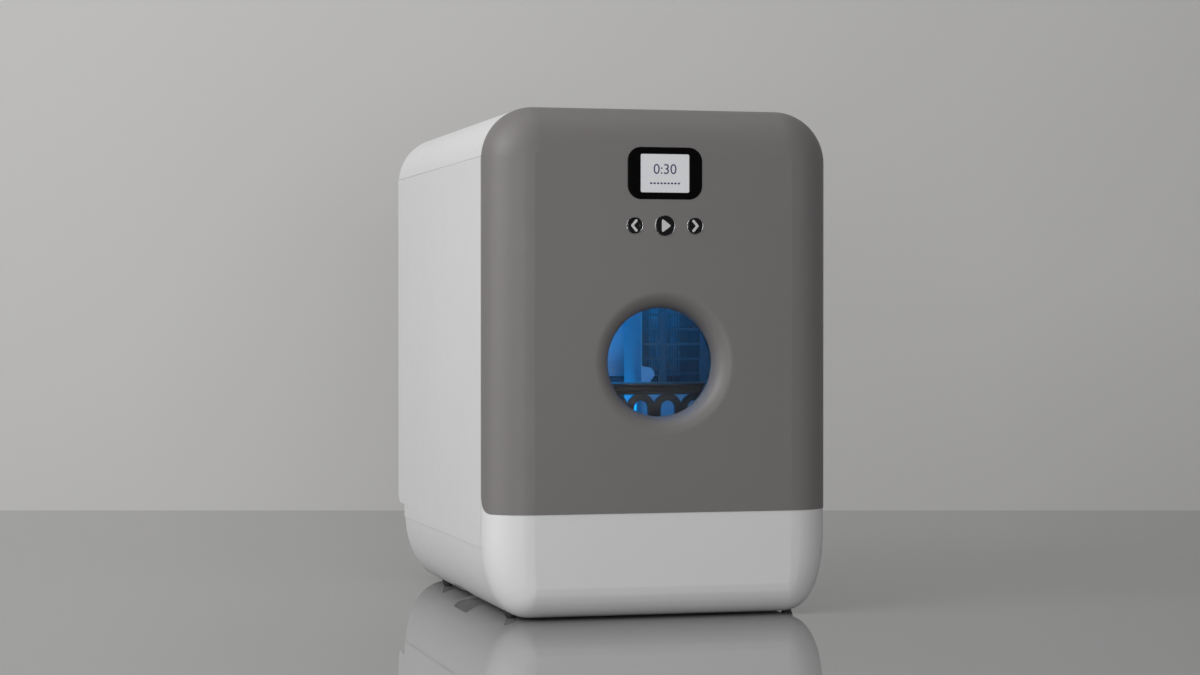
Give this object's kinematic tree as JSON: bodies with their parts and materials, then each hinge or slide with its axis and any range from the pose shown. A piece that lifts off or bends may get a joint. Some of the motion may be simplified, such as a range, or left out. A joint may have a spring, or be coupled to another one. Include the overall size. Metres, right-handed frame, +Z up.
{
  "type": "countertop dishwasher",
  "caption": "Countertop dishwasher with a rounded casing, a side-hung front door with a round window, a pull-out basket, display, push buttons and a built-in water tank.",
  "frame": {"origin": "on the floor under the middle of the machine", "axes": "+Z up, the door faces -Y, +X to the right seen from the front"},
  "size_m": [0.34, 0.4844, 0.485],
  "materials": {
    "casing": "satin off-white moulded plastic with a fine grain",
    "door": "matte warm grey paint over plastic",
    "inner_plastic": "satin light grey moulded plastic",
    "tub": "brushed stainless sheet",
    "bezel": "polished black plastic",
    "screen": "lit pale screen behind clear plastic",
    "rim": "bright plated rims",
    "button": "glossy black caps",
    "pane": "clear hardened glass",
    "dark_plastic": "dark grey moulded plastic",
    "basket": "grey nylon coating",
    "rubber": "matte rubber",
    "steel": "zinc plated steel",
    "brass": "plain bearing metal",
    "tank": "milky translucent plastic",
    "impeller": "natural nylon",
    "board": "green circuit board",
    "light": "blue light diffuser",
    "float": "orange foam float"
  },
  "bodies": {
    "cabinet": {"side_panel_left": "casing", "side_panel_right": "casing", "top_cover": "casing", "rear_cover": "casing", "base_tray": "casing", "front_fascia": "casing", "front_frame": "inner_plastic", "tub": "tub", "tub_gasket": "rubber", "basket_rails": "tub", "sump": "dark_plastic", "filter_plate": "tub", "spray_hub": "dark_plastic", "water_tank": "tank", "wash_pump": "dark_plastic", "wash_motor": "steel", "drain_pump": "dark_plastic", "drain_motor": "steel", "heater": "steel", "riser_pipe": "dark_plastic", "hose_couplings": "rubber", "drain_hose": "rubber", "tank_hoses": "rubber", "fan_housing": "dark_plastic", "power_inlet": "dark_plastic", "drain_spigot": "dark_plastic", "inlet_valve": "inner_plastic", "power_board": "board", "light_strip": "light", "catch_plate": "steel", "feet": "rubber", "casing_screws": "steel", "hinge_arms": "steel", "hinge_pins": "steel"},
    "door": {"door_panel": "door", "door_liner": "inner_plastic", "window_lens": "pane", "window_ring": "dark_plastic", "display_bezel": "bezel", "display_screen": "screen", "control_board": "board", "button_rims": "rim", "hinge_bushes": "brass", "door_magnet": "steel", "dispenser_box": "inner_plastic", "door_screws": "steel"},
    "button_left": {"button_left": "button"},
    "button_start": {"button_start": "button"},
    "button_right": {"button_right": "button"},
    "dispenser_cover": {"dispenser_cover": "dark_plastic"},
    "basket": {"basket_frame": "basket", "plate_rack": "basket", "cutlery_basket": "basket"},
    "spray_arm": {"spray_arm": "inner_plastic"},
    "tank_lid": {"tank_lid": "casing"},
    "filter_cup": {"filter_cup": "dark_plastic"},
    "wash_impeller": {"wash_impeller": "impeller"},
    "drain_impeller": {"drain_impeller": "impeller"},
    "fan_rotor": {"fan_rotor": "dark_plastic"},
    "level_float": {"level_float": "float"}
  },
  "joints": [
    {"name": "door_hinge", "type": "hinge", "parent": "cabinet", "child": "door", "pos_m": [0.162, -0.21145, 0.153], "axis": [0, 0, 1], "range_deg": [0, 92]},
    {"name": "basket_slide", "type": "slide", "parent": "cabinet", "child": "basket", "axis": [0, -1, 0], "range_m": [0, 0.156]},
    {"name": "button_left_press", "type": "slide", "parent": "door", "child": "button_left", "axis": [0, 1, 0], "range_m": [0, 0.0015], "stiffness_N_per_m": 400},
    {"name": "button_start_press", "type": "slide", "parent": "door", "child": "button_start", "axis": [0, 1, 0], "range_m": [0, 0.0015], "stiffness_N_per_m": 400},
    {"name": "button_right_press", "type": "slide", "parent": "door", "child": "button_right", "axis": [0, 1, 0], "range_m": [0, 0.0015], "stiffness_N_per_m": 400},
    {"name": "dispenser_slide", "type": "slide", "parent": "door", "child": "dispenser_cover", "axis": [1, 0, 0], "range_m": [0, 0.036]},
    {"name": "spray_arm_spin", "type": "hinge", "parent": "cabinet", "child": "spray_arm", "pos_m": [0, -0.0399, 0.119], "axis": [0, 0, 1], "continuous": true},
    {"name": "filter_turn", "type": "hinge", "parent": "cabinet", "child": "filter_cup", "pos_m": [0.075, 0.05525, 0.112], "axis": [0, 0, 1], "range_deg": [0, 90]},
    {"name": "tank_lid_hinge", "type": "hinge", "parent": "cabinet", "child": "tank_lid", "pos_m": [-0.038, 0.21825, 0.481], "axis": [-1, 0, 0], "range_deg": [0, 90]},
    {"name": "float_slide", "type": "slide", "parent": "cabinet", "child": "level_float", "axis": [0, 0, 1], "range_m": [0, 0.1]},
    {"name": "wash_impeller_spin", "type": "hinge", "parent": "cabinet", "child": "wash_impeller", "pos_m": [-0.015, 0.05525, 0.0695], "axis": [1, 0, 0], "continuous": true},
    {"name": "drain_impeller_spin", "type": "hinge", "parent": "cabinet", "child": "drain_impeller", "pos_m": [0.075, 0.13225, 0.0615], "axis": [0, 1, 0], "continuous": true},
    {"name": "fan_spin", "type": "hinge", "parent": "cabinet", "child": "fan_rotor", "pos_m": [0.112, 0.13025, 0.375], "axis": [0, 1, 0], "continuous": true}
  ],
  "couplings": [
    {"joint": "basket_slide", "follows": "door_hinge", "m_per_rad": 0.097}
  ]
}
